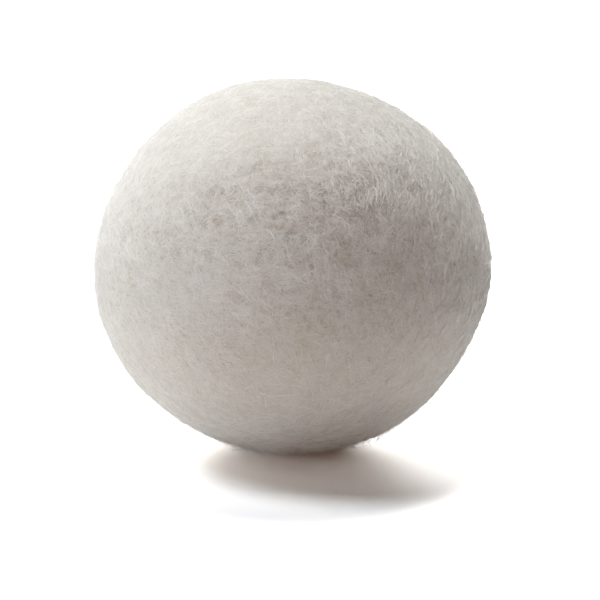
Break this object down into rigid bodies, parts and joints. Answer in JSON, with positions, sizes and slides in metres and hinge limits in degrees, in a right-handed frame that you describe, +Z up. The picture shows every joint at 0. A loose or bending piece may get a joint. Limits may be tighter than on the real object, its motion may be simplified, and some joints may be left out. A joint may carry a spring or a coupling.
{
  "type": "wool dryer ball",
  "caption": "Slightly squashed ball of felted wool over a wound yarn core, tumbled loose among laundry in a dryer to part and soften it.",
  "frame": {"origin": "middle of the small flat that the ball stands on", "axes": "+Z up from that flat through the ball, the ball's shortest way; +X to the right as seen from the front, the ball's widest way; the front faces -Y"},
  "size_m": [0.072, 0.0702, 0.0675],
  "materials": {
    "raw_wool": "matte",
    "wool_yarn": "matte",
    "carded_wool": "matte",
    "wool_felt": "matte"
  },
  "bodies": {
    "root": {"heart_tuft": "raw_wool", "yarn_winding_inner": "wool_yarn", "yarn_winding_middle": "wool_yarn", "yarn_winding_outer": "wool_yarn", "wool_wrap_first": "carded_wool", "wool_wrap_second": "carded_wool", "wool_wrap_third": "carded_wool", "felt_skin": "wool_felt"}
  },
  "joints": []
}
